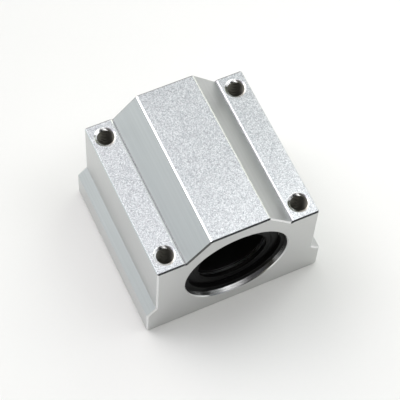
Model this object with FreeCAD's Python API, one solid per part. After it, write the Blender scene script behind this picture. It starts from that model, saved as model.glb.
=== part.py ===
import FreeCAD, Part
import math
import os

# Linear bearing block: an aluminium housing that holds a sealed recirculating-ball bearing
# for a round shaft. Millimetres. X runs across the block, Y along the shaft, Z up from the
# flat base. The origin is on the base, under the middle of the block. The front is at -Y.

V = FreeCAD.Vector

# Shaft and the housing's outer form
shaft_radius = 15.0
shaft_height = 30.0
body_width = 70.0
crown_width = 25.0
crown_above_shaft = 29.5
shoulder_above_shaft = 19.0
shoulder_width = 11.5
flange_height = 14.0
flange_projection = 4.0
base_corner_chamfer = 1.2
foot_relief_depth = 0.6
foot_relief_radius = 0.3
long_edge_break = 0.35
end_chamfer = 0.4

# Fastening holes in the shoulders: drilled through, then tapped from above
hole_side_distance = 6.0
hole_end_distance = 7.0
through_hole_radius = 3.5
tapped_hole_radius = 3.32
tapped_depth = 18.0
hole_mouth_radius = 4.45
hole_mouth_angle = 118.0
hole_foot_chamfer = 0.5

# Bearing length and its seat in the housing
bearing_length = 64.0
ring_setback = 2.25
bore_clearance = 0.01
bore_chamfer = 0.4
ring_groove_depth = 1.25
ring_side_play = 0.1

# Internal retaining ring: its band is widest opposite the gap
ring_thickness = 1.75
ring_seat_clearance = 0.05
ring_band_widest = 4.3
ring_band_narrowest = 2.1
ring_gap_angle = 20.0
ring_lug_radius = 2.9
ring_lug_hole_radius = 1.25
ring_lug_fillet = 1.0

# Bearing sleeve: its wall is measured behind the relief between the ball tracks
sleeve_wall = 2.21
sleeve_end_chamfer = 0.5
sleeve_groove_depth = 1.0
sleeve_groove_width = 1.85
sleeve_groove_setback = 9.75
sleeve_mouth_step = 0.3
track_setback = 5.0
track_width_angle = 15.0
track_ramp_length = 2.5

# Balls and the closed circuits that they run in
ball_radius = 3.969 / 2.0
circuit_count = 6
ball_gap = 0.05
row_gap = 2.48
return_rise = 1.2
shaft_clearance = 0.02
track_clearance = 0.01
return_clearance = 0.1
ball_sides = 8

# Ball cage
cage_bore_clearance = 0.4
cage_floor_thickness = 0.7
cage_track_clearance = 0.2
cage_end_wall = 2.8
cage_collar_clearance = 0.15
cage_collar_setback = 0.4
pocket_clearance = 0.17
load_slot_catch = 0.33

# Stop rings and end seals, stacked in the sleeve's mouth
stop_ring_thickness = 1.2
stop_ring_width = 3.8
cage_end_play = 0.1
mouth_clearance = 0.02
seal_thickness = 2.5
seal_lip_clearance = 0.05
seal_lip_width = 0.8
seal_lip_height = 1.2
seal_rim_width = 2.8
seal_face_recess = 0.2
seal_dish_depth = 0.6

# Worked out from the sizes above
half_bearing = bearing_length / 2.0
half_length = half_bearing + ring_thickness + ring_setback
block_height = shaft_height + crown_above_shaft
shoulder_height = shaft_height + shoulder_above_shaft
hole_x = body_width / 2.0 - hole_side_distance
hole_y = half_length - hole_end_distance
load_row_radius = shaft_radius + shaft_clearance + ball_radius
return_row_radius = load_row_radius + return_rise
track_radius = load_row_radius + ball_radius + track_clearance
relief_radius = return_row_radius + ball_radius + return_clearance
sleeve_mouth_radius = relief_radius + sleeve_mouth_step
bearing_radius = relief_radius + sleeve_wall
bore_radius = bearing_radius + bore_clearance
ring_groove_radius = bore_radius + ring_groove_depth
ring_outer_radius = ring_groove_radius - ring_seat_clearance
cage_bore_radius = shaft_radius + cage_bore_clearance
cage_floor_radius = cage_bore_radius + cage_floor_thickness
cage_outer_radius = track_radius - cage_track_clearance
cage_collar_radius = relief_radius - cage_collar_clearance
mouth_part_radius = sleeve_mouth_radius - mouth_clearance
mouth_depth = seal_thickness + stop_ring_thickness
half_cage = half_bearing - mouth_depth - cage_end_play
loop_radius = ball_radius + row_gap / 2.0
row_angle = math.degrees(2.0 * loop_radius / ((load_row_radius + return_row_radius) / 2.0))
half_channel = ball_radius + pocket_clearance
half_slot = ball_radius - load_slot_catch / 2.0
half_straight = half_cage - cage_end_wall - loop_radius - half_channel
half_track = half_straight - track_setback
loop_length = 4.0 * half_straight + 2.0 * math.pi * loop_radius
least_ball_pitch = 2.0 * loop_radius * math.asin((ball_radius + ball_gap / 2.0) / loop_radius)
balls_per_circuit = int(loop_length / least_ball_pitch)
touch = 1e-6


def on_axis(radius, y_start, y_end):
    """A cylinder on the shaft axis between two Y positions."""
    return Part.makeCylinder(radius, y_end - y_start, V(0, y_start, shaft_height), V(0, 1, 0))


def turned(profile):
    """A solid turned about the shaft axis from (radius, y) corners."""
    points = [V(radius, y, shaft_height) for radius, y in profile]
    face = Part.Face(Part.makePolygon(points + points[:1]))
    return face.revolve(V(0, 0, shaft_height), V(0, 1, 0), 360)


def about_axis(shape, angle):
    """A copy turned about the shaft axis, with 0 degrees straight up and +90 towards +X."""
    copy = shape.copy()
    copy.rotate(V(0, 0, shaft_height), V(0, 1, 0), angle)
    return copy


def wedge(half_angle, y_start, y_end):
    """A wedge with its point on the shaft axis that opens upwards, wider than the whole bearing."""
    reach = 2.0 * ring_groove_radius
    rise = reach * math.cos(math.radians(half_angle))
    run = reach * math.sin(math.radians(half_angle))
    apex = V(0, y_start, shaft_height)
    left = V(-run, y_start, shaft_height + rise)
    right = V(run, y_start, shaft_height + rise)
    return Part.Face(Part.makePolygon([apex, left, right, apex])).extrude(V(0, y_end - y_start, 0))


def to_rear(shape):
    """The same part at the other end of the block, faced the other way."""
    return shape.mirror(V(0, 0, 0), V(0, 1, 0))


def runs_along_shaft(edge):
    start = edge.Vertexes[0].Point
    end = edge.Vertexes[-1].Point
    return math.hypot(start.x - end.x, start.z - end.z) < touch


def lies_on_circle(edge, centre, radius):
    """Whether an edge along the shaft stands on a circle about an (x, z) centre."""
    point = edge.Vertexes[0].Point
    return abs(math.hypot(point.x - centre[0], point.z - centre[1]) - radius) < touch


# Housing

def housing_corners():
    """The right half of the housing's section, from the crown down to the base, as (x, z)."""
    body = body_width / 2.0
    base = body + flange_projection
    shoulder = body - shoulder_width
    return {
        "crown": (crown_width / 2.0, block_height),
        "slope_foot": (shoulder - foot_relief_depth, shoulder_height - foot_relief_depth),
        "shoulder_inner": (shoulder, shoulder_height),
        "shoulder_outer": (body, shoulder_height),
        "flange_root": (body, flange_height + flange_projection),
        "flange_edge": (base, flange_height),
        "base_corner_side": (base, base_corner_chamfer),
        "base_corner_foot": (base - base_corner_chamfer, 0.0),
    }


def long_edges(solid, corners):
    """The solid's edges that run along Y through the given (x, z) corners or their mirror images."""
    found = []
    for edge in filter(runs_along_shaft, solid.Edges):
        point = edge.Vertexes[0].Point
        if any(math.hypot(abs(point.x) - x, point.z - z) < touch for x, z in corners):
            found.append(edge)
    return found


def end_edges(solid):
    """The edges round the two end faces of the extrusion."""
    return [edge for edge in solid.Edges if not runs_along_shaft(edge)]


def extrusion():
    """The housing's section drawn along the shaft, with broken edges."""
    corners = housing_corners()
    right = [V(x, -half_length, z) for x, z in corners.values()]
    left = [V(-point.x, point.y, point.z) for point in reversed(right)]
    outline = Part.makePolygon(right + left + right[:1])
    solid = Part.Face(outline).extrude(V(0, 2.0 * half_length, 0))
    solid = solid.makeFillet(foot_relief_radius, long_edges(solid, [corners["slope_foot"]]))
    broken = [corners[name] for name in ("crown", "shoulder_inner", "shoulder_outer")]
    solid = solid.makeChamfer(long_edge_break, long_edges(solid, broken))
    return solid.makeChamfer(end_chamfer, end_edges(solid))


def bearing_seat():
    """The bore, its chamfered mouths and the two retaining ring grooves, as one cutter."""
    mouth = bore_radius + bore_chamfer
    groove_outer = half_bearing + ring_thickness
    groove_inner = groove_outer - ring_thickness - ring_side_play
    half = [
        (mouth, half_length),
        (bore_radius, half_length - bore_chamfer),
        (bore_radius, groove_outer),
        (ring_groove_radius, groove_outer),
        (ring_groove_radius, groove_inner),
        (bore_radius, groove_inner),
    ]
    rear = [(0.0, half_length)] + half
    front = [(radius, -y) for radius, y in reversed(rear)]
    return turned(rear + front)


def shoulder_hole():
    """One drilled, tapped and countersunk hole, as a cutter standing on the base at the origin."""
    mouth_width = hole_mouth_radius - tapped_hole_radius
    mouth_bottom = shoulder_height - mouth_width / math.tan(math.radians(hole_mouth_angle / 2.0))
    foot_radius = through_hole_radius + hole_foot_chamfer
    profile = [
        (0.0, 0.0),
        (foot_radius, 0.0),
        (through_hole_radius, hole_foot_chamfer),
        (through_hole_radius, shoulder_height - tapped_depth),
        (tapped_hole_radius, shoulder_height - tapped_depth),
        (tapped_hole_radius, mouth_bottom),
        (hole_mouth_radius, shoulder_height),
        (0.0, shoulder_height),
    ]
    points = [V(radius, 0, z) for radius, z in profile]
    face = Part.Face(Part.makePolygon(points + points[:1]))
    return face.revolve(V(0, 0, 0), V(0, 0, 1), 360)


def housing():
    solid = extrusion().cut(bearing_seat())
    for x in (-hole_x, hole_x):
        for y in (-hole_y, hole_y):
            cutter = shoulder_hole()
            cutter.translate(V(x, y, 0))
            solid = solid.cut(cutter)
    return solid


# Retaining ring

def lug_centre(angle):
    """The (x, z) centre of a lug at an angle from the top of the ring."""
    radius = ring_outer_radius - ring_seat_clearance - ring_lug_radius
    turn = math.radians(angle)
    return radius * math.sin(turn), shaft_height + radius * math.cos(turn)


def retaining_ring():
    """The front ring, seated against the bearing's end, with its gap and lugs at the top."""
    y_front = -half_bearing - ring_thickness
    inner_bottom = ring_outer_radius - ring_band_widest
    inner_top = ring_outer_radius - ring_band_narrowest
    inner_radius = (inner_bottom + inner_top) / 2.0
    inner_centre = (0.0, shaft_height + (inner_top - inner_bottom) / 2.0)
    lug_angle = ring_gap_angle / 2.0 + math.degrees(ring_lug_radius / ring_outer_radius)
    centres = [lug_centre(-lug_angle), lug_centre(lug_angle)]

    def disc(centre, radius):
        return Part.makeCylinder(radius, ring_thickness, V(centre[0], y_front, centre[1]), V(0, 1, 0))

    ring = on_axis(ring_outer_radius, y_front, -half_bearing).cut(disc(inner_centre, inner_radius))
    ring = ring.cut(wedge(lug_angle, y_front, -half_bearing))
    ring = ring.fuse([disc(centre, ring_lug_radius) for centre in centres]).removeSplitter()
    roots = [
        edge for edge in filter(runs_along_shaft, ring.Edges)
        if lies_on_circle(edge, inner_centre, inner_radius)
        and any(lies_on_circle(edge, centre, ring_lug_radius) for centre in centres)
    ]
    ring = ring.makeFillet(ring_lug_fillet, roots)
    return ring.cut([disc(centre, ring_lug_hole_radius) for centre in centres])


# Bearing sleeve

def ball_track():
    """One raised land inside the sleeve, ramped at both ends, for a load row at the top."""
    half_ramp = half_track + track_ramp_length
    root_radius = (relief_radius + bearing_radius) / 2.0
    land = turned([
        (track_radius, -half_track),
        (track_radius, half_track),
        (relief_radius, half_ramp),
        (root_radius, half_ramp),
        (root_radius, -half_ramp),
        (relief_radius, -half_ramp),
    ])
    return land.common(wedge(track_width_angle / 2.0, -half_ramp, half_ramp))


def bearing_sleeve():
    """The hardened outer sleeve: two snap ring grooves outside, six ball tracks inside."""
    groove_outer = half_bearing - sleeve_groove_setback
    groove_inner = groove_outer - sleeve_groove_width
    groove_radius = bearing_radius - sleeve_groove_depth
    shoulder = half_bearing - mouth_depth
    half = [
        (relief_radius, shoulder),
        (sleeve_mouth_radius, shoulder),
        (sleeve_mouth_radius, half_bearing),
        (bearing_radius - sleeve_end_chamfer, half_bearing),
        (bearing_radius, half_bearing - sleeve_end_chamfer),
        (bearing_radius, groove_outer),
        (groove_radius, groove_outer),
        (groove_radius, groove_inner),
        (bearing_radius, groove_inner),
    ]
    mirrored = [(radius, -y) for radius, y in reversed(half)]
    sleeve = turned(half + mirrored)
    track = ball_track()
    tracks = [about_axis(track, load_row_angle(number)) for number in range(circuit_count)]
    return sleeve.fuse(tracks).removeSplitter()


# Ball circuits

def circuit_angle(number):
    """Where the middle of a circuit lies round the shaft."""
    return number * 360.0 / circuit_count


def load_row_angle(number):
    return circuit_angle(number) - row_angle / 2.0


def ramped_radius(y):
    """A load row ball runs on the shaft along the track and climbs to the return level past its ends."""
    climb = min(max((abs(y) - half_track) / track_setback, 0.0), 1.0)
    return load_row_radius + return_rise * climb


def circuit_place(distance):
    """Angle from the circuit's middle, Y and radius of a ball centre at a distance along the loop."""
    straight = 2.0 * half_straight
    turn = math.pi * loop_radius
    half_row = row_angle / 2.0
    if distance < straight:
        y = distance - half_straight
        return -half_row, y, ramped_radius(y)
    if distance < straight + turn:
        swept = (distance - straight) / loop_radius
        y = half_straight + loop_radius * math.sin(swept)
        return -half_row * math.cos(swept), y, return_row_radius
    if distance < 2.0 * straight + turn:
        y = half_straight - (distance - straight - turn)
        return half_row, y, return_row_radius
    swept = (distance - 2.0 * straight - turn) / loop_radius
    y = -half_straight - loop_radius * math.sin(swept)
    return half_row * math.cos(swept), y, return_row_radius


def ball():
    """A steel ball on the origin, kept to flat facets, with two of them square to Z."""
    step = 2.0 * math.pi / ball_sides
    rings = []
    for latitude in (-1.5 * step, -0.5 * step, 0.5 * step, 1.5 * step):
        level = ball_radius * math.sin(latitude)
        reach = ball_radius * math.cos(latitude)
        turns = [i * step for i in range(ball_sides)]
        rings.append([V(reach * math.cos(turn), reach * math.sin(turn), level) for turn in turns])
    faces = [Part.Face(Part.makePolygon(ring + ring[:1])) for ring in (rings[0], rings[-1])]
    for lower, upper in zip(rings, rings[1:]):
        for i in range(ball_sides):
            after = (i + 1) % ball_sides
            corners = [lower[i], lower[after], upper[after], upper[i], lower[i]]
            faces.append(Part.Face(Part.makePolygon(corners)))
    return Part.makeSolid(Part.makeShell(faces))


def placed_ball(pattern, number, distance):
    """A copy of the ball at its place in a circuit."""
    angle, y, radius = circuit_place(distance)
    copy = pattern.copy()
    copy.translate(V(0, y, shaft_height + radius))
    return about_axis(copy, circuit_angle(number) + angle)


def circuit_balls(number):
    """The loaded and the returning balls of one circuit, as two groups."""
    pattern = ball()
    pitch = loop_length / balls_per_circuit
    places = [(i + 0.5) * pitch for i in range(balls_per_circuit)]
    loaded = [place for place in places if place < 2.0 * half_straight]
    returning = [place for place in places if place >= 2.0 * half_straight]
    return [
        Part.makeCompound([placed_ball(pattern, number, place) for place in group])
        for group in (loaded, returning)
    ]


# Ball cage

def stadium(half, radius, depth):
    """An upright slab with straight sides along Y and round ends, from the shaft axis up."""
    base = shaft_height
    lines = [
        Part.LineSegment(V(-radius, -half, base), V(-radius, half, base)),
        Part.Arc(V(-radius, half, base), V(0, half + radius, base), V(radius, half, base)),
        Part.LineSegment(V(radius, half, base), V(radius, -half, base)),
        Part.Arc(V(radius, -half, base), V(0, -half - radius, base), V(-radius, -half, base)),
    ]
    return Part.Face(Part.Wire([line.toShape() for line in lines])).extrude(V(0, 0, depth))


def circuit_pocket():
    """The closed channel of the top circuit, open outwards and floored next to the shaft."""
    depth = 2.0 * cage_outer_radius
    load_x = -load_row_radius * math.sin(math.radians(row_angle / 2.0))
    return_x = return_row_radius * math.sin(math.radians(row_angle / 2.0))
    centreline = (return_x - load_x) / 2.0
    outside = stadium(half_straight, centreline + half_channel, depth)
    channel = outside.cut(stadium(half_straight, centreline - half_channel, depth))
    channel.translate(V((load_x + return_x) / 2.0, 0, 0))
    return channel.cut(on_axis(cage_floor_radius, -half_bearing, half_bearing))


def load_slot():
    """The slot through the cage floor that lets the top load row reach the shaft."""
    return stadium(half_straight - half_slot, half_slot, cage_outer_radius)


def ball_cage():
    half_body = half_cage - cage_end_wall + cage_collar_setback
    cage = turned([
        (cage_bore_radius, -half_cage),
        (cage_collar_radius, -half_cage),
        (cage_collar_radius, -half_body),
        (cage_outer_radius, -half_body),
        (cage_outer_radius, half_body),
        (cage_collar_radius, half_body),
        (cage_collar_radius, half_cage),
        (cage_bore_radius, half_cage),
    ])
    pocket = circuit_pocket()
    slot = load_slot()
    cutters = [about_axis(pocket, circuit_angle(number)) for number in range(circuit_count)]
    cutters += [about_axis(slot, load_row_angle(number)) for number in range(circuit_count)]
    return cage.cut(cutters)


# Stop rings and seals

def stop_ring():
    """The front ring that keeps the cage in the sleeve."""
    y_back = -half_bearing + mouth_depth
    y_front = y_back - stop_ring_thickness
    inner_radius = mouth_part_radius - stop_ring_width
    return turned([
        (inner_radius, y_front),
        (mouth_part_radius, y_front),
        (mouth_part_radius, y_back),
        (inner_radius, y_back),
    ])


def end_seal():
    """The front rubber seal: a flat rim, a dished web and a lip that wipes the shaft."""
    y_face = -half_bearing + seal_face_recess
    y_back = -half_bearing + seal_thickness
    lip_radius = shaft_radius + seal_lip_clearance
    rim_radius = mouth_part_radius - seal_rim_width
    root_radius = lip_radius + seal_lip_height
    return turned([
        (mouth_part_radius, y_face),
        (rim_radius, y_face),
        (rim_radius - seal_dish_depth, y_face + seal_dish_depth),
        (root_radius, y_face + seal_dish_depth),
        (lip_radius, y_face),
        (lip_radius, y_face + seal_lip_width),
        (root_radius, y_back),
        (mouth_part_radius, y_back),
    ])


def build():
    """Every separate piece of the block by its node name."""
    front_ring = retaining_ring()
    front_stop = stop_ring()
    front_seal = end_seal()
    pieces = {
        "housing": housing(),
        "front_retaining_ring": front_ring,
        "rear_retaining_ring": to_rear(front_ring),
        "bearing_sleeve": bearing_sleeve(),
        "ball_cage": ball_cage(),
        "front_stop_ring": front_stop,
        "rear_stop_ring": to_rear(front_stop),
        "front_seal": front_seal,
        "rear_seal": to_rear(front_seal),
    }
    for number in range(circuit_count):
        loaded, returning = circuit_balls(number)
        pieces["loaded_balls_%d" % (number + 1)] = loaded
        pieces["return_balls_%d" % (number + 1)] = returning
    return pieces


os.makedirs("parts", exist_ok=True)
for name, shape in build().items():
    shape.exportStep("parts/%s.step" % name)
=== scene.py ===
import math

import bmesh
import bpy
from mathutils import Matrix, Vector


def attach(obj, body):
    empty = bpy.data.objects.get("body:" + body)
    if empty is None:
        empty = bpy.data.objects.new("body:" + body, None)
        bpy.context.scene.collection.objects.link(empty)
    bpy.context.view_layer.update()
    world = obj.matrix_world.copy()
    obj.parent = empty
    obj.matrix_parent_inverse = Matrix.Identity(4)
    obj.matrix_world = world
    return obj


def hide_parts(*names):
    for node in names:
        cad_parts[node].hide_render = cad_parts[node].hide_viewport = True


# The looks of a linear bearing block: an aluminium housing with four tapped holes, and in its bore
# a sealed ball bearing held by two retaining rings. Metres. X across, Y along the shaft, Z up.

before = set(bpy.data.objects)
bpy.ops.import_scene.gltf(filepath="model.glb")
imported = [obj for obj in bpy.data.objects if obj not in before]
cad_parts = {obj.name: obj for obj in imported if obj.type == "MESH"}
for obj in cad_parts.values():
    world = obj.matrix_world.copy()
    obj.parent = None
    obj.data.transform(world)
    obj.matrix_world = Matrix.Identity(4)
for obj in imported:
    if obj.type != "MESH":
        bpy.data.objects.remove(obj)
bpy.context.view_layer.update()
scene = bpy.context.scene
mm = 0.001

# Sizes shared with the solids
shaft_height = 30.0 * mm
half_length = 36.0 * mm
half_width = 35.0 * mm
shoulder_height = 49.0 * mm
hole_place = 29.0 * mm
countersink_radius = 4.45 * mm
ring_groove_radius = 23.76 * mm

# Balls: six closed circuits, each with a loaded row on the shaft and a return row above it.
# These are in millimetres, and become metres where the balls are placed.
shaft_radius = 15.0
shaft_play = 0.02
ball_radius = 3.969 / 2.0
circuit_count = 6
ball_gap = 0.05
row_gap = 2.48
return_rise = 1.2
track_setback = 5.0
half_straight = 20.0211
load_row_radius = shaft_radius + shaft_play + ball_radius
return_row_radius = load_row_radius + return_rise
loop_radius = ball_radius + row_gap / 2.0

# M8 thread of the shoulder holes, and the cone at each mouth
thread_pitch = 1.25 * mm
thread_minor_radius = 3.345 * mm
thread_major_radius = 4.0 * mm
thread_bottom = 30.3 * mm
thread_turns = 15
thread_segments = 36
thread_profile_points = 9
thread_rise = (0.25, 0.5)  # where one flank starts and ends, as shares of the pitch
thread_fall = (0.625, 0.875)  # the other flank
thread_run_in = (0.8, 1.8)  # the turns over which the lowest thread grows to its depth
cutter_waist = 0.96  # the cutter's radius below the thread, as a share of the minor radius
mouth_half_angle = math.radians(59.0)
mouth_depth = 0.8 * mm
mouth_margin = 0.12 * mm

# Finishing
weld_distance = 1e-6
turn_weld_distance = 0.002 * mm
flat_within = 0.001 * mm
flat_angle = math.radians(0.3)
housing_edge_round = 0.21 * mm
ring_edge_round = 0.08 * mm
seal_edge_round = 0.1 * mm
stop_edge_round = 0.06 * mm
bearing_edge_round = 0.08 * mm
edge_round_steps = 2
end_chamfer = 0.4 * mm
end_edge_break = 0.6 * mm
step_place = 23.5 * mm
step_height = 0.6 * mm
edge_band = 0.6 * mm
bore_margin = 1.0 * mm
smooth_angle = math.radians(32.0)
housing_smooth_angle = math.radians(20.0)
level_from = 0.9999  # a face this square to an axis is shaded flat
random_seed = 7
ball_roundness = 2
wear_strength = 6.0


# Node tools

def add_node(tree, kind, inputs=None, **settings):
    """A new node with its settings, and with each named input set to a value or linked to a socket."""
    made = tree.nodes.new(kind)
    for key, value in settings.items():
        setattr(made, key, value)
    for key, value in (inputs or {}).items():
        if isinstance(value, bpy.types.NodeSocket):
            tree.links.new(value, made.inputs[key])
        else:
            made.inputs[key].default_value = value
    return made


def math_node(tree, operation, first, second=None, clamp=False):
    inputs = {0: first} if second is None else {0: first, 1: second}
    return add_node(tree, "ShaderNodeMath", inputs, operation=operation, use_clamp=clamp).outputs[0]


def new_group(name, inputs, outputs):
    """An empty shader group with named sockets: inputs (name, type, default), outputs (name, type)."""
    group = bpy.data.node_groups.new(name, "ShaderNodeTree")
    for label, kind, default in inputs:
        socket = group.interface.new_socket(label, in_out="INPUT", socket_type="NodeSocket" + kind)
        if default is not None:
            socket.default_value = default
    for label, kind in outputs:
        group.interface.new_socket(label, in_out="OUTPUT", socket_type="NodeSocket" + kind)
    return group, group.nodes.new("NodeGroupInput").outputs, group.nodes.new("NodeGroupOutput").inputs


def use_group(tree, group, inputs):
    return add_node(tree, "ShaderNodeGroup", inputs, node_tree=group).outputs


# Shared effects

def grain_group():
    """Fine grain of a blasted or moulded surface: soft noise, and small facets with their own tones."""
    group, given, result = new_group(
        "Surface Grain",
        [("Position", "Vector", None), ("Grain Size", "Float", 0.0004)],
        [("Grain", "Float"), ("Facets", "Float"), ("Hue", "Float")],
    )
    scale = math_node(group, "DIVIDE", 1.0, given["Grain Size"])
    fine = add_node(group, "ShaderNodeTexNoise", {"Vector": given["Position"], "Scale": scale,
                    "Detail": 2.5, "Roughness": 0.6})
    cells = add_node(group, "ShaderNodeTexVoronoi", {"Vector": given["Position"], "Scale": scale},
                     feature="F1")
    tone = add_node(group, "ShaderNodeSeparateColor", {"Color": cells.outputs["Color"]})
    group.links.new(fine.outputs[0], result["Grain"])
    group.links.new(tone.outputs[0], result["Facets"])
    group.links.new(tone.outputs[1], result["Hue"])
    return group


def die_line_group():
    """Faint lines that an extrusion die leaves along the profile."""
    group, given, result = new_group(
        "Die Lines",
        [("Position", "Vector", None), ("Spacing", "Float", 0.0006)],
        [("Lines", "Float")],
    )
    scale = math_node(group, "DIVIDE", 1.0, given["Spacing"])
    stretched = add_node(group, "ShaderNodeVectorMath",
                         {0: given["Position"], 1: (1.0, 0.012, 1.0)}, operation="MULTIPLY")
    lines = add_node(group, "ShaderNodeTexNoise", {"Vector": stretched.outputs[0], "Scale": scale,
                     "Detail": 3.0, "Roughness": 0.55})
    group.links.new(lines.outputs[0], result["Lines"])
    return group


def smudge_group():
    """Broad uneven patches, as handling and storage leave on metal."""
    group, given, result = new_group(
        "Handling Marks",
        [("Position", "Vector", None), ("Patch Size", "Float", 0.012)],
        [("Patches", "Float")],
    )
    scale = math_node(group, "DIVIDE", 1.0, given["Patch Size"])
    patches = add_node(group, "ShaderNodeTexNoise", {"Vector": given["Position"], "Scale": scale,
                       "Detail": 4.0, "Roughness": 0.5, "Distortion": 0.4})
    group.links.new(patches.outputs[0], result["Patches"])
    return group


def feed_mark_group():
    """Turning marks: fine rings along the shaft axis, slightly uneven in depth."""
    group, given, result = new_group(
        "Feed Marks",
        [("Position", "Vector", None), ("Feed", "Float", 0.00025)],
        [("Marks", "Float")],
    )
    along = add_node(group, "ShaderNodeSeparateXYZ", {0: given["Position"]}).outputs["Y"]
    turns = math_node(group, "DIVIDE", along, given["Feed"])
    wave = math_node(group, "SINE", math_node(group, "MULTIPLY", turns, 2.0 * math.pi))
    depth = add_node(group, "ShaderNodeTexNoise", {"W": math_node(group, "MULTIPLY", turns, 0.37),
                     "Scale": 1.0, "Detail": 2.0}, noise_dimensions="1D")
    scaled = math_node(group, "MULTIPLY", wave, depth.outputs[0])
    centred = add_node(group, "ShaderNodeMath", {0: scaled, 1: 0.5, 2: 0.5}, operation="MULTIPLY_ADD")
    group.links.new(centred.outputs[0], result["Marks"])
    return group


def turned_flank_group():
    """Normals of turning marks: each mark's flank leans towards the end that the tool came in from."""
    group, given, result = new_group(
        "Turned Flanks",
        [("Position", "Vector", None), ("Marks", "Float", 0.5), ("Lean", "Float", 0.3)],
        [("Normal", "Vector")],
    )
    along = add_node(group, "ShaderNodeSeparateXYZ", {0: given["Position"]}).outputs["Y"]
    outward = math_node(group, "SIGN", along)
    depth = add_node(group, "ShaderNodeMapRange", {
        "Value": given["Marks"], "To Min": 0.3, "To Max": 1.7}).outputs[0]
    varied = math_node(group, "MULTIPLY", given["Lean"], depth)
    lean = math_node(group, "MULTIPLY", varied, outward)
    tilt = add_node(group, "ShaderNodeCombineXYZ", {"Y": lean}).outputs[0]
    surface = add_node(group, "ShaderNodeNewGeometry").outputs["Normal"]
    leaning = add_node(group, "ShaderNodeVectorMath", {0: surface, 1: tilt}, operation="ADD").outputs[0]
    unit = add_node(group, "ShaderNodeVectorMath", {0: leaning}, operation="NORMALIZE").outputs[0]
    group.links.new(unit, result["Normal"])
    return group


def edge_wear_group():
    """How much an edge is rubbed: strongest on the corner, broken up along it."""
    group, given, result = new_group(
        "Edge Wear",
        [("Position", "Vector", None), ("Width", "Float", 0.0003), ("Break Up", "Float", 0.002)],
        [("Wear", "Float")],
    )
    rounded = add_node(group, "ShaderNodeBevel", {"Radius": given["Width"]}, samples=4)
    true_normal = add_node(group, "ShaderNodeNewGeometry")
    agreement = add_node(group, "ShaderNodeVectorMath",
                         {0: rounded.outputs[0], 1: true_normal.outputs["True Normal"]},
                         operation="DOT_PRODUCT").outputs["Value"]
    bend = math_node(group, "SUBTRACT", 1.0, agreement)
    scale = math_node(group, "DIVIDE", 1.0, given["Break Up"])
    uneven = add_node(group, "ShaderNodeTexNoise", {"Vector": given["Position"], "Scale": scale,
                      "Detail": 3.0}).outputs[0]
    strength = math_node(group, "MULTIPLY", bend, wear_strength)
    group.links.new(math_node(group, "MULTIPLY", strength, uneven, clamp=True), result["Wear"])
    return group


surface_grain = grain_group()
die_lines = die_line_group()
handling_marks = smudge_group()
feed_marks = feed_mark_group()
turned_flanks = turned_flank_group()
edge_wear = edge_wear_group()


# Materials

def new_material(name):
    """A material with its shader and the piece's own coordinates, ready for effects."""
    material = bpy.data.materials.new(name)
    material.use_nodes = True
    tree = material.node_tree
    shader = tree.nodes["Principled BSDF"]
    place = add_node(tree, "ShaderNodeTexCoord").outputs["Object"]
    return material, tree, shader, place


def between(tree, factor, low, high):
    """A number that follows a 0 to 1 mask from low to high."""
    return add_node(tree, "ShaderNodeMapRange", {"Value": factor, "To Min": low, "To Max": high}).outputs[0]


def tint(tree, factor, dark, light):
    """A colour that follows a 0 to 1 mask from dark to light."""
    mix = add_node(tree, "ShaderNodeMix", {"Factor": factor}, data_type="RGBA")
    for socket, colour in ((6, dark), (7, light)):
        if isinstance(colour, bpy.types.NodeSocket):
            tree.links.new(colour, mix.inputs[socket])
        else:
            mix.inputs[socket].default_value = (*colour, 1.0)
    return mix.outputs[2]


def bump(tree, shader, height, distance, strength):
    made = add_node(tree, "ShaderNodeBump", {"Height": height, "Distance": distance, "Strength": strength})
    tree.links.new(made.outputs[0], shader.inputs["Normal"])


def as_grey(tree, value):
    """A mask as a grey colour, so that two masks can be mixed."""
    return add_node(tree, "ShaderNodeCombineXYZ", {"X": value, "Y": value, "Z": value}).outputs[0]


def frosted_aluminium():
    """The crown and shoulders: blasted and anodised, with a bright sparkling grain."""
    material, tree, shader, place = new_material("frosted_aluminium")
    grain = use_group(tree, surface_grain, {"Position": place, "Grain Size": 0.27 * mm})
    patches = use_group(tree, handling_marks, {"Position": place, "Patch Size": 14.0 * mm})["Patches"]
    worn = use_group(tree, edge_wear, {"Position": place, "Width": 0.15 * mm, "Break Up": 1.5 * mm})["Wear"]
    shadow = tint(tree, grain["Hue"], (0.298, 0.334, 0.355), (0.350, 0.329, 0.360))
    ground = tint(tree, grain["Facets"], shadow, (0.777, 0.784, 0.797))
    tree.links.new(tint(tree, worn, ground, (0.86, 0.865, 0.87)), shader.inputs["Base Color"])
    uneven = between(tree, grain["Grain"], -0.06, 0.06)
    rough = math_node(tree, "ADD", between(tree, patches, 0.30, 0.38), uneven)
    tree.links.new(rough, shader.inputs["Roughness"])
    shader.inputs["Metallic"].default_value = 1.0
    bump(tree, shader, grain["Grain"], 0.03 * mm, 1.0)
    return material


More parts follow.
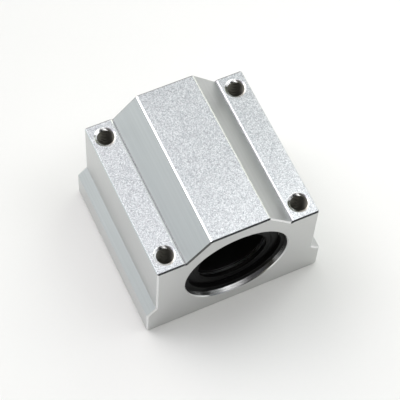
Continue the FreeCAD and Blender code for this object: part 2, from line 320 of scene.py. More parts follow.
def extruded_aluminium():
    """The slopes, walls and flanges: satin anodised over faint die lines."""
    material, tree, shader, place = new_material("extruded_aluminium")
    lines = use_group(tree, die_lines, {"Position": place, "Spacing": 0.7 * mm})["Lines"]
    fine = use_group(tree, surface_grain, {"Position": place, "Grain Size": 0.15 * mm})["Grain"]
    patches = use_group(tree, handling_marks, {"Position": place, "Patch Size": 18.0 * mm})["Patches"]
    worn = use_group(tree, edge_wear, {"Position": place, "Width": 0.25 * mm, "Break Up": 1.5 * mm})["Wear"]
    ground = tint(tree, lines, (0.558, 0.569, 0.569), (0.662, 0.673, 0.673))
    tree.links.new(tint(tree, worn, ground, (0.92, 0.925, 0.93)), shader.inputs["Base Color"])
    uneven = between(tree, lines, -0.03, 0.03)
    rough = math_node(tree, "ADD", between(tree, patches, 0.36, 0.44), uneven)
    tree.links.new(rough, shader.inputs["Roughness"])
    shader.inputs["Metallic"].default_value = 1.0
    relief = tint(tree, 0.35, as_grey(tree, lines), as_grey(tree, fine))
    bump(tree, shader, relief, 0.004 * mm, 0.6)
    return material


def milled_aluminium():
    """The end faces: sawn, milled flat and anodised."""
    material, tree, shader, place = new_material("milled_aluminium")
    fine = use_group(tree, surface_grain, {"Position": place, "Grain Size": 0.2 * mm})["Grain"]
    patches = use_group(tree, handling_marks, {"Position": place, "Patch Size": 20.0 * mm})["Patches"]
    worn = use_group(tree, edge_wear, {"Position": place, "Width": 0.25 * mm, "Break Up": 1.5 * mm})["Wear"]
    ground = tint(tree, fine, (0.583, 0.588, 0.583), (0.675, 0.680, 0.675))
    tree.links.new(tint(tree, worn, ground, (0.92, 0.925, 0.93)), shader.inputs["Base Color"])
    tree.links.new(between(tree, patches, 0.36, 0.46), shader.inputs["Roughness"])
    shader.inputs["Metallic"].default_value = 1.0
    bump(tree, shader, fine, 0.006 * mm, 0.7)
    return material


def cut_edge():
    """Chamfers and broken edges: bright freshly cut metal."""
    material, tree, shader, place = new_material("cut_aluminium_edge")
    fine = use_group(tree, surface_grain, {"Position": place, "Grain Size": 0.3 * mm})["Grain"]
    tree.links.new(tint(tree, fine, (0.66, 0.665, 0.67), (0.78, 0.785, 0.79)), shader.inputs["Base Color"])
    tree.links.new(between(tree, fine, 0.14, 0.24), shader.inputs["Roughness"])
    shader.inputs["Metallic"].default_value = 1.0
    bump(tree, shader, fine, 0.004 * mm, 0.5)
    return material


def painted_dark_edge():
    """The end faces' upper outline: a narrow chamfer coloured near black, a painted dark reflection."""
    material, tree, shader, place = new_material("painted_dark_aluminium_edge")
    fine = use_group(tree, surface_grain, {"Position": place, "Grain Size": 0.3 * mm})["Grain"]
    # Near-black base colour: painted dark reflection along the upper end chamfers.
    tree.links.new(tint(tree, fine, (0.10, 0.102, 0.105), (0.20, 0.203, 0.206)), shader.inputs["Base Color"])
    tree.links.new(between(tree, fine, 0.2, 0.32), shader.inputs["Roughness"])
    shader.inputs["Metallic"].default_value = 1.0
    bump(tree, shader, fine, 0.004 * mm, 0.5)
    return material


def painted_shade_aluminium():
    """The foot of each slope: the corner beside the step, coloured dark as painted shade."""
    material, tree, shader, place = new_material("painted_shade_aluminium")
    lines = use_group(tree, die_lines, {"Position": place, "Spacing": 0.7 * mm})["Lines"]
    fine = use_group(tree, surface_grain, {"Position": place, "Grain Size": 0.15 * mm})["Grain"]
    # Dark base colour: painted shade in the corner at the foot of the slope.
    tree.links.new(tint(tree, lines, (0.16, 0.163, 0.165), (0.24, 0.244, 0.247)), shader.inputs["Base Color"])
    tree.links.new(between(tree, fine, 0.45, 0.60), shader.inputs["Roughness"])
    shader.inputs["Metallic"].default_value = 1.0
    bump(tree, shader, fine, 0.004 * mm, 0.6)
    return material


def turned_aluminium():
    """The bore and the ring grooves: turned, bright, with fine feed marks."""
    material, tree, shader, place = new_material("turned_aluminium")
    marks = use_group(tree, feed_marks, {"Position": place, "Feed": 0.22 * mm})["Marks"]
    patches = use_group(tree, handling_marks, {"Position": place, "Patch Size": 6.0 * mm})["Patches"]
    colour = tint(tree, marks, (0.235, 0.238, 0.240), (0.345, 0.349, 0.352))
    tree.links.new(colour, shader.inputs["Base Color"])
    tree.links.new(between(tree, patches, 0.16, 0.28), shader.inputs["Roughness"])
    shader.inputs["Metallic"].default_value = 1.0
    flanks = use_group(tree, turned_flanks, {"Position": place, "Marks": marks, "Lean": 0.30})["Normal"]
    tree.links.new(flanks, shader.inputs["Normal"])
    return material


def tapped_aluminium():
    """The thread and the hole below it: cut metal coloured near black, painted shade inside the holes."""
    material, tree, shader, place = new_material("tapped_aluminium")
    fine = use_group(tree, surface_grain, {"Position": place, "Grain Size": 0.5 * mm})["Grain"]
    patches = use_group(tree, handling_marks, {"Position": place, "Patch Size": 3.0 * mm})["Patches"]
    # Near-black base colour: painted shade in the threads and holes, uneven in patches.
    colour = tint(tree, patches, (0.070, 0.068, 0.057), (0.115, 0.112, 0.095))
    tree.links.new(colour, shader.inputs["Base Color"])
    tree.links.new(between(tree, fine, 0.25, 0.45), shader.inputs["Roughness"])
    shader.inputs["Metallic"].default_value = 0.9
    bump(tree, shader, fine, 0.01 * mm, 0.5)
    return material


def phosphated_steel():
    """The retaining rings: spring steel, phosphated black and oiled, rubbed on the corners."""
    material, tree, shader, place = new_material("phosphated_steel")
    grain = use_group(tree, surface_grain, {"Position": place, "Grain Size": 0.25 * mm})
    patches = use_group(tree, handling_marks, {"Position": place, "Patch Size": 5.0 * mm})["Patches"]
    worn = use_group(tree, edge_wear, {"Position": place, "Width": 0.12 * mm, "Break Up": 0.8 * mm})["Wear"]
    ground = tint(tree, grain["Grain"], (0.003, 0.003, 0.003), (0.008, 0.008, 0.008))
    bare = math_node(tree, "MULTIPLY", worn, 0.5)
    tree.links.new(tint(tree, bare, ground, (0.16, 0.16, 0.165)), shader.inputs["Base Color"])
    tree.links.new(between(tree, patches, 0.32, 0.5), shader.inputs["Roughness"])
    shader.inputs["Specular IOR Level"].default_value = 0.05
    bump(tree, shader, grain["Grain"], 0.008 * mm, 0.6)
    return material


def ground_steel():
    """The bearing sleeve: hardened steel, ground round and faced."""
    material, tree, shader, place = new_material("ground_bearing_steel")
    marks = use_group(tree, feed_marks, {"Position": place, "Feed": 0.12 * mm})["Marks"]
    patches = use_group(tree, handling_marks, {"Position": place, "Patch Size": 9.0 * mm})["Patches"]
    worn = use_group(tree, edge_wear, {"Position": place, "Width": 0.15 * mm, "Break Up": 1.0 * mm})["Wear"]
    ground = tint(tree, marks, (0.42, 0.425, 0.43), (0.56, 0.565, 0.575))
    tree.links.new(tint(tree, worn, ground, (0.72, 0.725, 0.73)), shader.inputs["Base Color"])
    tree.links.new(between(tree, patches, 0.14, 0.24), shader.inputs["Roughness"])
    shader.inputs["Metallic"].default_value = 1.0
    bump(tree, shader, marks, 0.001 * mm, 0.6)
    return material


def stamped_steel():
    """The stop rings behind the seals: stamped strip steel."""
    material, tree, shader, place = new_material("stamped_steel")
    grain = use_group(tree, surface_grain, {"Position": place, "Grain Size": 0.3 * mm})["Grain"]
    patches = use_group(tree, handling_marks, {"Position": place, "Patch Size": 5.0 * mm})["Patches"]
    tree.links.new(tint(tree, grain, (0.30, 0.305, 0.31), (0.42, 0.425, 0.43)), shader.inputs["Base Color"])
    tree.links.new(between(tree, patches, 0.28, 0.42), shader.inputs["Roughness"])
    shader.inputs["Metallic"].default_value = 1.0
    bump(tree, shader, grain, 0.004 * mm, 0.6)
    return material


def moulded_rubber():
    """The end seals: black nitrile rubber with a dry bloom."""
    material, tree, shader, place = new_material("black_nitrile_rubber")
    grain = use_group(tree, surface_grain, {"Position": place, "Grain Size": 0.35 * mm})["Grain"]
    patches = use_group(tree, handling_marks, {"Position": place, "Patch Size": 7.0 * mm})["Patches"]
    colour = tint(tree, patches, (0.002, 0.002, 0.002), (0.006, 0.006, 0.006))
    tree.links.new(colour, shader.inputs["Base Color"])
    tree.links.new(between(tree, grain, 0.42, 0.62), shader.inputs["Roughness"])
    shader.inputs["Specular IOR Level"].default_value = 0.12
    bump(tree, shader, grain, 0.02 * mm, 0.5)
    return material


def moulded_resin():
    """The ball cage: black moulded nylon."""
    material, tree, shader, place = new_material("black_moulded_nylon")
    grain = use_group(tree, surface_grain, {"Position": place, "Grain Size": 0.3 * mm})["Grain"]
    patches = use_group(tree, handling_marks, {"Position": place, "Patch Size": 8.0 * mm})["Patches"]
    colour = tint(tree, patches, (0.003, 0.003, 0.003), (0.008, 0.008, 0.008))
    tree.links.new(colour, shader.inputs["Base Color"])
    tree.links.new(between(tree, grain, 0.32, 0.5), shader.inputs["Roughness"])
    shader.inputs["Specular IOR Level"].default_value = 0.2
    bump(tree, shader, grain, 0.01 * mm, 0.5)
    return material


def polished_steel():
    """The balls: lapped chrome steel under a thin film of oil."""
    material, tree, shader, place = new_material("polished_ball_steel")
    film = use_group(tree, handling_marks, {"Position": place, "Patch Size": 1.5 * mm})["Patches"]
    tree.links.new(tint(tree, film, (0.60, 0.605, 0.61), (0.72, 0.725, 0.735)), shader.inputs["Base Color"])
    tree.links.new(between(tree, film, 0.04, 0.10), shader.inputs["Roughness"])
    shader.inputs["Metallic"].default_value = 1.0
    bump(tree, shader, film, 0.001 * mm, 0.3)
    return material


# Meshes

def merged_mesh(node, name):
    """A copy of a CAD node's mesh with its loose triangles welded and its flat faces joined."""
    work = bmesh.new()
    work.from_mesh(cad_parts[node].data)
    bmesh.ops.remove_doubles(work, verts=work.verts, dist=weld_distance)
    bmesh.ops.dissolve_limit(work, angle_limit=flat_angle, verts=work.verts, edges=work.edges)
    mesh = bpy.data.meshes.new(name)
    work.to_mesh(mesh)
    work.free()
    mesh.materials.clear()
    for inherited in ("custom_normal", "sharp_edge", "sharp_face"):
        if inherited in mesh.attributes:
            mesh.attributes.remove(mesh.attributes[inherited])
    return mesh


def new_object(name, mesh):
    made = bpy.data.objects.new(name, mesh)
    scene.collection.objects.link(made)
    return made


def baked(piece):
    """The piece with its modifiers turned into plain mesh."""
    bpy.context.view_layer.update()
    seen = piece.evaluated_get(bpy.context.evaluated_depsgraph_get())
    mesh = bpy.data.meshes.new_from_object(seen)
    mesh.name = piece.name
    piece.modifiers.clear()
    piece.data = mesh
    return piece


def round_edges(piece, width, angle=smooth_angle):
    """Rounds every edge sharper than an angle by a small width."""
    rounding = piece.modifiers.new("edge rounding", "BEVEL")
    rounding.width = width
    rounding.segments = edge_round_steps
    rounding.limit_method = "ANGLE"
    rounding.angle_limit = angle
    rounding.miter_outer = "MITER_ARC"
    rounding.use_clamp_overlap = True


def shade(piece, angle=smooth_angle):
    """Smooth shading that breaks at edges sharper than an angle."""
    piece.data.shade_smooth()
    piece.data.set_sharp_from_angle(angle=angle)


def weight_normals(piece):
    """Keeps flat faces flat beside their rounded edges."""
    weighted = piece.modifiers.new("weighted normals", "WEIGHTED_NORMAL")
    weighted.keep_sharp = True
    weighted.weight = 100


def dressed(node, name, material, rounding):
    """A rounded, smoothly shaded piece that stands for one CAD node."""
    mesh = merged_mesh(node, name)
    mesh.materials.append(material)
    piece = new_object(name, mesh)
    shade(piece)
    round_edges(piece, rounding)
    weight_normals(piece)
    baked(piece)
    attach(piece, "root")
    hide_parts(node)
    return piece


# Housing

HOUSING_FINISHES = ("frosted", "extruded", "milled", "edge", "painted_dark", "painted_shade", "turned", "tapped")


# How square to an axis a face's normal is, from 0 to 1, where the finish changes
facing = 0.98
hole_wall_level = 0.99
groove_edge_from, groove_edge_to = 0.3, 0.95
end_chamfer_from = 0.2
on_top_from = 0.15
turned_to_light = 0.3
step_edge_from = 0.02
long_edge_to = 0.62
shoulder_edge_to = 0.96

# Margins about the places that part one finish from the next
hole_margin = 0.1 * mm
end_margin = 1.0 * mm
bore_end_margin = 0.01 * mm
step_band = 0.22 * mm
step_band_low = 1.1 * step_height
step_band_inward = 1.5 * step_height
chamfer_band = 2.0 * step_height


def on_mouth_cone(from_hole, height):
    """Whether a point lies on the cone at a hole's mouth."""
    depth = shoulder_height - height
    cone_radius = countersink_radius - depth * math.tan(mouth_half_angle)
    return height > shoulder_height - mouth_depth and abs(from_hole - cone_radius) < mouth_margin


def housing_finish(centre, normal):
    """Which finish a housing face has, from where it lies and how it faces."""
    from_axis = math.hypot(centre.x, centre.z - shaft_height)
    from_hole = math.hypot(abs(centre.x) - hole_place, abs(centre.y) - hole_place)
    facing_end = abs(normal.y) > facing and abs(centre.y) > half_length - end_margin
    in_hole = from_hole < countersink_radius + hole_margin and abs(normal.z) < hole_wall_level
    if in_hole and not facing_end:
        return "edge" if on_mouth_cone(from_hole, centre.z) else "tapped"
    if from_axis < ring_groove_radius + hole_margin and abs(centre.y) < half_length - bore_end_margin:
        return "edge" if groove_edge_from < abs(normal.y) < groove_edge_to else "turned"
    if facing_end:
        return "milled"
    if normal.z > facing and centre.z > shoulder_height - end_margin:
        return "frosted"
    if abs(normal.y) > end_chamfer_from:
        on_top = normal.z > on_top_from and centre.z > shoulder_height - chamfer_band
        at_end = abs(centre.y) > half_length - end_edge_break - hole_margin
        # Upper end chamfers not turned to the light get the painted dark reflection; those turned to the
        # light stay bright cut metal.
        return "painted_dark" if on_top and at_end and normal.x < turned_to_light else "edge"
    in_step = step_place - step_band_inward < abs(centre.x) < step_place + step_height
    # The low band beside the step gets the painted shade.
    if in_step and shoulder_height - step_band_low < centre.z < shoulder_height - step_band:
        return "painted_shade"
    if in_step and centre.z > shoulder_height - step_band:
        return "edge" if normal.x > step_edge_from else "frosted"
    steepest = shoulder_edge_to if abs(centre.x) > half_width - edge_band else long_edge_to
    rounded = step_edge_from < abs(normal.x) < steepest
    return "edge" if rounded and centre.z > shoulder_height - edge_band else "extruded"


def thread_tree():
    """Geometry nodes that wind a strip of one thread profile into a tapped hole's cutter."""
    tree = bpy.data.node_groups.new("Tapped Thread", "GeometryNodeTree")
    sockets = tree.interface
    for label, kind, default in (
        ("Pitch", "Float", thread_pitch),
        ("Minor Radius", "Float", thread_minor_radius),
        ("Major Radius", "Float", thread_major_radius),
        ("Bottom", "Float", thread_bottom),
        ("Turns", "Int", thread_turns),
        ("Segments", "Int", thread_segments),
        ("Finish", "Material", None),
    ):
        socket = sockets.new_socket(label, in_out="INPUT", socket_type="NodeSocket" + kind)
        if default is not None:
            socket.default_value = default
    sockets.new_socket("Cutter", in_out="OUTPUT", socket_type="NodeSocketGeometry")
    given = tree.nodes.new("NodeGroupInput").outputs
    steps = math_node(tree, "MULTIPLY", given["Turns"], given["Segments"])
    across = math_node(tree, "ADD", steps, 1.0)
    strip = add_node(tree, "GeometryNodeMeshGrid", {
        "Size X": 1.0, "Size Y": 1.0, "Vertices X": across, "Vertices Y": thread_profile_points})
    position = add_node(tree, "GeometryNodeInputPosition").outputs[0]
    place = add_node(tree, "ShaderNodeSeparateXYZ", {0: position})
    along = math_node(tree, "ADD", place.outputs["X"], 0.5)
    turned = math_node(tree, "MULTIPLY", along, given["Turns"])
    share = math_node(tree, "ADD", place.outputs["Y"], 0.5)
    height = math_node(tree, "MULTIPLY", math_node(tree, "ADD", turned, share), given["Pitch"])
    rise = add_node(tree, "ShaderNodeMapRange", {
        "Value": share, "From Min": thread_rise[0], "From Max": thread_rise[1]}).outputs[0]
    fall = add_node(tree, "ShaderNodeMapRange", {
        "Value": share, "From Min": thread_fall[0], "From Max": thread_fall[1]}).outputs[0]
    depth = math_node(tree, "SUBTRACT", rise, fall)
    run_in = add_node(tree, "ShaderNodeMapRange", {
        "Value": height, "From Min": math_node(tree, "MULTIPLY", given["Pitch"], thread_run_in[0]),
        "From Max": math_node(tree, "MULTIPLY", given["Pitch"], thread_run_in[1])}).outputs[0]
    profile = add_node(tree, "ShaderNodeMapRange", {
        "Value": depth, "To Min": given["Minor Radius"], "To Max": given["Major Radius"]}).outputs[0]
    inside = math_node(tree, "MULTIPLY", given["Minor Radius"], cutter_waist)
    radius = add_node(tree, "ShaderNodeMapRange", {
        "Value": run_in, "To Min": inside, "To Max": profile}).outputs[0]
    angle = math_node(tree, "MULTIPLY", turned, math.tau)
    wound = add_node(tree, "ShaderNodeCombineXYZ", {
        "X": math_node(tree, "MULTIPLY", radius, math_node(tree, "COSINE", angle)),
        "Y": math_node(tree, "MULTIPLY", radius, math_node(tree, "SINE", angle)),
        "Z": math_node(tree, "ADD", height, given["Bottom"])})
    moved = add_node(tree, "GeometryNodeSetPosition", {
        "Geometry": strip.outputs[0], "Position": wound.outputs[0]})
    real = add_node(tree, "GeometryNodeRealizeInstances", {0: moved.outputs[0]})
    finished = add_node(tree, "GeometryNodeSetMaterial", {
        "Geometry": real.outputs[0], "Material": given["Finish"]})
    add_node(tree, "NodeGroupOutput", {0: finished.outputs[0]})
    return tree


def closed_cutter(mesh):
    """Welds the wound strip's turns to each other and closes both its ends."""
    work = bmesh.new()
    work.from_mesh(mesh)
    bmesh.ops.remove_doubles(work, verts=work.verts, dist=turn_weld_distance)
    rims = [edge for edge in work.edges if edge.is_boundary]
    middle = sum((edge.verts[0].co.z for edge in rims), 0.0) / len(rims)
    lower = [edge for edge in rims if edge.verts[0].co.z < middle]
    upper = [edge for edge in rims if edge.verts[0].co.z >= middle]
    for rim in (lower, upper):
        height = sum((edge.verts[0].co.z for edge in rim), 0.0) / len(rim)
        hub = work.verts.new((0.0, 0.0, height))
        for edge in rim:
            work.faces.new((edge.verts[0], edge.verts[1], hub))
    bmesh.ops.recalc_face_normals(work, faces=work.faces)
    work.to_mesh(mesh)
    work.free()
    return mesh


def tap_holes(piece, finish):
    """Cuts the thread into the four shoulder holes."""
    winder = new_object("thread_cutter", bpy.data.meshes.new("thread_cutter"))
    wound = winder.modifiers.new("thread", "NODES")
    wound.node_group = thread_tree()
    set_input(wound, "Finish", finish)
    baked(winder)
    closed_cutter(winder.data)
    cutters = bmesh.new()
    for x in (-hole_place, hole_place):
        for y in (-hole_place, hole_place):
            before = len(cutters.verts)
            cutters.from_mesh(winder.data)
            cutters.verts.ensure_lookup_table()
            bmesh.ops.translate(cutters, verts=cutters.verts[before:], vec=(x, y, 0.0))
    cutters.to_mesh(winder.data)
    cutters.free()
    cut = piece.modifiers.new("threads", "BOOLEAN")
    cut.operation = "DIFFERENCE"
    cut.object = winder
    cut.solver = "MANIFOLD"
    baked(piece)
    spent = winder.data
    bpy.data.objects.remove(winder)
    bpy.data.meshes.remove(spent)


def in_order(edges):
    """The corners of one closed loop of edges, in order round it."""
    corners = [edges[0].verts[0], edges[0].verts[1]]
    left = set(edges[1:])
    while left:
        following = next(edge for edge in left if corners[-1] in edge.verts)
        left.remove(following)
        corners.append(following.other_vert(corners[-1]))
    return corners[:-1]


def inset_corners(corners, distance):
    """Each corner of a closed outline in the XZ plane, moved in so that every side moves in evenly."""
    points = [Vector((vert.co.x, vert.co.z)) for vert in corners]
    area = sum(points[i - 1].cross(points[i]) for i in range(len(points)))
    inward = 1.0 if area > 0.0 else -1.0
    moved = []
    for i, point in enumerate(points):
        before = (point - points[i - 1]).normalized()
        after = (points[(i + 1) % len(points)] - point).normalized()
        side = Vector((-before.y - after.y, before.x + after.x)) * inward
        moved.append(point + side * distance / (1.0 + before.dot(after)))
    return moved


def widen_end_chamfers(mesh):
    """Takes the chamfer round both end faces a little deeper, and fills the faces anew."""
    work = bmesh.new()
    work.from_mesh(mesh)
    growth = end_edge_break / end_chamfer
    for end in (-1.0, 1.0):
        level = end * half_length
        face_parts = [face for face in work.faces
                      if all(abs(vert.co.y - level) < flat_within for vert in face.verts)]
        bmesh.ops.delete(work, geom=face_parts, context="FACES_ONLY")
        away = [vert for vert in work.verts
                if end * vert.co.y > half_length - end_chamfer - flat_within
                and math.hypot(vert.co.x, vert.co.z - shaft_height) > ring_groove_radius + bore_margin]
        rims = [edge for edge in work.edges if edge.is_boundary]
        outer = [edge for edge in rims if edge.verts[0] in away]
        corners = in_order(outer)
        places = inset_corners(corners, end_edge_break - end_chamfer)
        for vert in away:
            vert.co.y = level - growth * (level - vert.co.y)
        for vert, (x, z) in zip(corners, places):
            vert.co.x, vert.co.z = x, z
        bmesh.ops.triangle_fill(work, use_beauty=True, use_dissolve=False, edges=rims)
    bmesh.ops.recalc_face_normals(work, faces=work.faces)
    work.to_mesh(mesh)
    work.free()


def keep_within_ends(mesh):
    """Brings corners that the rounding pushed past the end faces back to them."""
    for vertex in mesh.vertices:
        vertex.co.y = max(-half_length, min(half_length, vertex.co.y))


def housing():
    """The block: end chamfers, rounded edges, threads, and a finish for every face."""
    mesh = merged_mesh("housing", "block_housing")
    materials = {
        "frosted": frosted_aluminium(),
        "extruded": extruded_aluminium(),
        "milled": milled_aluminium(),
        "edge": cut_edge(),
        "painted_dark": painted_dark_edge(),
        "painted_shade": painted_shade_aluminium(),
        "turned": turned_aluminium(),
        "tapped": tapped_aluminium(),
    }
    piece = new_object("block_housing", mesh)
    widen_end_chamfers(piece.data)
    round_edges(piece, housing_edge_round, housing_smooth_angle)
    baked(piece)
    keep_within_ends(piece.data)
    tap_holes(piece, materials["tapped"])
    piece.data.materials.clear()
    for name in HOUSING_FINISHES:
        piece.data.materials.append(materials[name])
    for face in piece.data.polygons:
        face.material_index = HOUSING_FINISHES.index(housing_finish(face.center, face.normal))
    shade(piece, housing_smooth_angle)
    for face in piece.data.polygons:
        level = max(abs(face.normal.y), abs(face.normal.z)) > level_from
        finish = HOUSING_FINISHES[face.material_index]
        face.use_smooth = not level or finish not in ("milled", "frosted")
    weight_normals(piece)
    baked(piece)
    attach(piece, "root")
    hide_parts("housing")
    return piece


# Balls

def ramped_radius(y):
    """Radius of a load row's ball centres, which climb to the return row at both ends."""
    half_track = half_straight - track_setback
    climb = min(max((abs(y) - half_track) / track_setback, 0.0), 1.0)
    return load_row_radius + return_rise * climb


def circuit_place(distance):
    """Angle from the circuit's middle, Y and radius of a ball centre at a distance along the loop."""
    straight = 2.0 * half_straight
    turn = math.pi * loop_radius
    half_row = loop_radius / ((load_row_radius + return_row_radius) / 2.0)
    if distance < straight:
        y = distance - half_straight
        return -half_row, y, ramped_radius(y)
    if distance < straight + turn:
        swept = (distance - straight) / loop_radius
        y = half_straight + loop_radius * math.sin(swept)
        return -half_row * math.cos(swept), y, return_row_radius
    if distance < 2.0 * straight + turn:
        return half_row, half_straight - (distance - straight - turn), return_row_radius
    swept = (distance - 2.0 * straight - turn) / loop_radius
    y = -half_straight - loop_radius * math.sin(swept)
    return half_row * math.cos(swept), y, return_row_radius


def circuit_centres(number):
    """Every ball centre of one circuit, in metres."""
    loop_length = 4.0 * half_straight + 2.0 * math.pi * loop_radius
    least_pitch = 2.0 * loop_radius * math.asin((ball_radius + ball_gap / 2.0) / loop_radius)
    count = int(loop_length / least_pitch)
    centres = []
    for i in range(count):
        angle, y, radius = circuit_place((i + 0.5) * loop_length / count)
        angle += number * 2.0 * math.pi / circuit_count
        across, up = radius * math.sin(angle) * mm, radius * math.cos(angle) * mm
        centres.append(Vector((across, y * mm, shaft_height + up)))
    return centres


def ball_row_tree():
    """Geometry nodes that set a ball on every point, each turned its own way."""
    tree = bpy.data.node_groups.new("Balls On Points", "GeometryNodeTree")
    sockets = tree.interface
    sockets.new_socket("Points", in_out="INPUT", socket_type="NodeSocketGeometry")
    for label, kind, default in (
        ("Ball Radius", "Float", ball_radius * mm),
        ("Roundness", "Int", ball_roundness),
        ("Seed", "Int", random_seed),
        ("Finish", "Material", None),
    ):
        socket = sockets.new_socket(label, in_out="INPUT", socket_type="NodeSocket" + kind)
        if default is not None:
            socket.default_value = default
    sockets.new_socket("Balls", in_out="OUTPUT", socket_type="NodeSocketGeometry")
    given = tree.nodes.new("NodeGroupInput").outputs
    ball = add_node(tree, "GeometryNodeMeshIcoSphere",
                    {"Radius": given["Ball Radius"], "Subdivisions": given["Roundness"]})
    smooth = add_node(tree, "GeometryNodeSetShadeSmooth", {0: ball.outputs["Mesh"]})
    turn = add_node(tree, "FunctionNodeRandomValue", {"Seed": given["Seed"]}, data_type="FLOAT_VECTOR")
    turn.inputs["Max"].default_value = (math.tau, math.tau, math.tau)
    placed = add_node(tree, "GeometryNodeInstanceOnPoints", {
        "Points": given["Points"], "Instance": smooth.outputs[0], "Rotation": turn.outputs[0]})
    real = add_node(tree, "GeometryNodeRealizeInstances", {0: placed.outputs[0]})
    finished = add_node(tree, "GeometryNodeSetMaterial", {
        "Geometry": real.outputs[0], "Material": given["Finish"]})
    add_node(tree, "NodeGroupOutput", {0: finished.outputs[0]})
    return tree


def set_input(modifier, label, value):
    """Sets a geometry nodes input by the identifier of its named socket."""
    for item in modifier.node_group.interface.items_tree:
        if item.item_type == "SOCKET" and item.in_out == "INPUT" and item.name == label:
            modifier[item.identifier] = value


def ball_circuit(number, tree, finish):
    """The balls of one circuit as one piece."""
    name = "ball_circuit_%d" % (number + 1)
    mesh = bpy.data.meshes.new(name)
    mesh.from_pydata(circuit_centres(number), [], [])
    piece = new_object(name, mesh)
    rows = piece.modifiers.new("balls", "NODES")
    rows.node_group = tree
    set_input(rows, "Ball Radius", ball_radius * mm)
    set_input(rows, "Roundness", ball_roundness)
    set_input(rows, "Seed", random_seed + number)
    set_input(rows, "Finish", finish)
    baked(piece)
    piece.data.materials.clear()
    piece.data.materials.append(finish)
    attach(piece, "root")
    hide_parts("loaded_balls_%d" % (number + 1), "return_balls_%d" % (number + 1))
    return piece


housing()
ring_finish = phosphated_steel()
seal_finish = moulded_rubber()
stop_finish = stamped_steel()
for end in ("front", "rear"):
    dressed(end + "_retaining_ring", end + "_snap_ring", ring_finish, ring_edge_round)
    dressed(end + "_seal", end + "_wiper_seal", seal_finish, seal_edge_round)
    dressed(end + "_stop_ring", end + "_cage_stop", stop_finish, stop_edge_round)
dressed("bearing_sleeve", "hardened_sleeve", ground_steel(), bearing_edge_round)
dressed("ball_cage", "moulded_cage", moulded_resin(), bearing_edge_round)
ball_tree = ball_row_tree()
ball_finish = polished_steel()
for number in range(circuit_count):
    ball_circuit(number, ball_tree, ball_finish)


# Floor, light and camera

floor_reach = 6.0
backdrop_colour = (0.93, 0.93, 0.92, 1.0)


def floor():
    """A wide sheet of white paper under the block."""
    size = floor_reach
    mesh = bpy.data.meshes.new("studio_floor")
    corners = [(-size, -size, 0.0), (size, -size, 0.0), (size, size, 0.0), (-size, size, 0.0)]
    mesh.from_pydata(corners, [], [(0, 1, 2, 3)])
    piece = new_object("studio_floor", mesh)
    material, tree, shader, place = new_material("white_paper")
    fibre = use_group(tree, surface_grain, {"Position": place, "Grain Size": 1.5 * mm})["Grain"]
    colour = tint(tree, fibre, (0.868, 0.872, 0.858), (0.882, 0.886, 0.872))
    tree.links.new(colour, shader.inputs["Base Color"])
    shader.inputs["Roughness"].default_value = 0.8
    shader.inputs["Specular IOR Level"].default_value = 0.1
    mesh.materials.append(material)


def world_light():
    """A soft studio dome: overlapping soft lights with three dark gaps, in front of a plain backdrop."""
    world = bpy.data.worlds.new("studio")
    scene.world = world
    world.use_nodes = True
    tree = world.node_tree
    tree.nodes.clear()
    toward = add_node(tree, "ShaderNodeTexCoord").outputs["Generated"]

    def cone(azimuth, elevation, inner, outer):
        """1 inside a cone about a direction, fading to 0 at its outer angle. Azimuth from +Y towards +X."""
        turn, rise = math.radians(azimuth), math.radians(elevation)
        unit = (math.sin(turn) * math.cos(rise), math.cos(turn) * math.cos(rise), math.sin(rise))
        lean = add_node(tree, "ShaderNodeVectorMath", {0: toward, 1: unit}, operation="DOT_PRODUCT")
        return add_node(tree, "ShaderNodeMapRange", {
            "Value": lean.outputs["Value"],
            "From Min": math.cos(math.radians(outer)),
            "From Max": math.cos(math.radians(inner)),
        }, interpolation_type="SMOOTHSTEP").outputs[0]

    light = None
    for azimuth, elevation, inner, outer, colour in DOME_LIGHTS:
        inputs = {0: cone(azimuth, elevation, inner, outer), 1: colour}
        if light is not None:
            inputs[2] = light
        light = add_node(tree, "ShaderNodeVectorMath", inputs, operation="MULTIPLY_ADD").outputs[0]
    for azimuth, elevation, inner, outer in DOME_GAPS:
        left = math_node(tree, "SUBTRACT", 1.0, cone(azimuth, elevation, inner, outer))
        light = add_node(tree, "ShaderNodeVectorMath", {0: light, 1: left},
                         operation="MULTIPLY").outputs[0]
    lit = add_node(tree, "ShaderNodeBackground", {"Color": light, "Strength": 1.0})
    plain = add_node(tree, "ShaderNodeBackground", {"Color": backdrop_colour, "Strength": 1.0})
    seen = add_node(tree, "ShaderNodeLightPath").outputs["Is Camera Ray"]
    mix = add_node(tree, "ShaderNodeMixShader", {0: seen, 1: lit.outputs[0], 2: plain.outputs[0]})
    add_node(tree, "ShaderNodeOutputWorld", {0: mix.outputs[0]})


softbox_place = Vector((0.16, -0.02, 0.30))
softbox_aim = Vector((0.0, 0.0, 0.05))
softbox_size = 0.2
softbox_power = 0.19


def soft_lamp():
    """A round softbox above the right side."""
    data = bpy.data.lights.new("softbox", "AREA")
    data.shape = "DISK"
    data.size = softbox_size
    data.energy = softbox_power
    lamp = bpy.data.objects.new("softbox", data)
    facing_block = (softbox_aim - softbox_place).to_track_quat("-Z", "Y").to_matrix().to_4x4()
    lamp.matrix_world = Matrix.Translation(softbox_place) @ facing_block
    lamp.visible_camera = False
    scene.collection.objects.link(lamp)


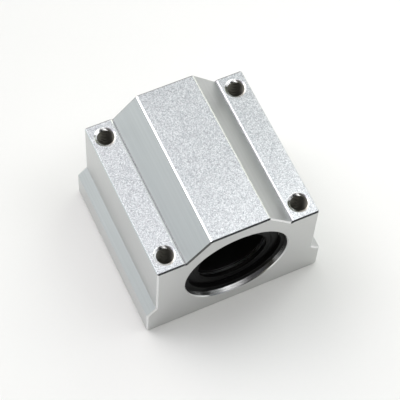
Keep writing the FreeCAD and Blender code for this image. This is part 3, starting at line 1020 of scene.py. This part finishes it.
# Each light of the dome: azimuth and elevation in degrees, inner and outer angle, colour
DOME_LIGHTS = (
    (0.0, 6.0, 4.0, 42.0, (0.397, 0.365, 0.316)),
    (45.0, 6.0, 4.0, 42.0, (0.068, 0.073, 0.042)),
    (135.0, 6.0, 4.0, 42.0, (0.076, 0.082, 0.090)),
    (180.0, 6.0, 4.0, 42.0, (0.485, 0.486, 0.482)),
    (225.0, 6.0, 4.0, 42.0, (0.201, 0.174, 0.095)),
    (315.0, 6.0, 4.0, 42.0, (0.606, 0.695, 0.657)),
    (22.5, 34.0, 4.0, 38.0, (0.111, 0.102, 0.088)),
    (67.5, 34.0, 4.0, 38.0, (0.105, 0.113, 0.089)),
    (157.5, 34.0, 4.0, 38.0, (0.122, 0.124, 0.139)),
    (202.5, 34.0, 4.0, 38.0, (0.118, 0.119, 0.112)),
    (292.5, 34.0, 4.0, 38.0, (0.459, 0.469, 0.543)),
    (337.5, 34.0, 4.0, 38.0, (1.357, 1.286, 1.221)),
    (29.0, 62.0, 3.0, 30.0, (0.264, 0.277, 0.277)),
    (89.0, 62.0, 3.0, 30.0, (0.246, 0.284, 0.284)),
    (149.0, 62.0, 3.0, 30.0, (1.493, 1.474, 1.445)),
    (209.0, 62.0, 3.0, 30.0, (0.052, 0.054, 0.052)),
    (269.0, 62.0, 3.0, 30.0, (0.182, 0.170, 0.176)),
    (329.0, 62.0, 3.0, 30.0, (1.113, 1.061, 1.140)),
    (0.0, 90.0, 3.0, 30.0, (1.196, 1.180, 1.185)),
    (60.4, 57.3, 3.0, 16.0, (0.446, 0.508, 0.487)),
    (359.1, 57.3, 3.0, 16.0, (0.216, 0.233, 0.270)),
    (29.7, 77.1, 3.0, 16.0, (0.077, 0.130, 0.146)),
    (29.7, 45.1, 3.0, 16.0, (0.167, 0.244, 0.239)),
    (316.0, 54.0, 4.0, 18.0, (2.050, 2.010, 2.040)),
    (58.0, 36.0, 6.0, 20.0, (1.624, 1.655, 1.562)),
    (130.0, 57.0, 4.0, 13.0, (1.221, 1.222, 1.223)),
    (105.0, 35.0, 4.0, 16.0, (0.889, 0.893, 0.901)),
)
# Each dark gap: azimuth, elevation, inner and outer angle
DOME_GAPS = (
    (188.2, 3.0, 15.0, 28.0),
    (158.0, 45.0, 12.0, 22.0),
    (209.1, 59.1, 4.0, 8.0),
)
world_light()
soft_lamp()
floor()


camera_place = Vector((-0.15340, -0.27696, 0.60647))
camera_forward = Vector((0.23207, 0.41698, -0.87879)).normalized()
camera_roll = math.radians(4.82)
sensor_width = 36.0
focal_length = 144.96
nearest_seen = 0.05
farthest_seen = 30.0


def camera():
    """A long lens above the front left corner, rolled a little."""
    forward = camera_forward
    level = forward.cross(Vector((0, 0, 1))).normalized()
    upright = level.cross(forward)
    right = level * math.cos(camera_roll) + upright * math.sin(camera_roll)
    up = right.cross(forward)
    data = bpy.data.cameras.new("studio_camera")
    data.sensor_width = sensor_width
    data.lens = focal_length
    data.clip_start = nearest_seen
    data.clip_end = farthest_seen
    made = bpy.data.objects.new("studio_camera", data)
    made.matrix_world = Matrix((
        (right.x, up.x, -forward.x, camera_place.x),
        (right.y, up.y, -forward.y, camera_place.y),
        (right.z, up.z, -forward.z, camera_place.z),
        (0.0, 0.0, 0.0, 1.0),
    ))
    scene.collection.objects.link(made)
    scene.camera = made


camera()
scene.view_settings.view_transform = "Standard"
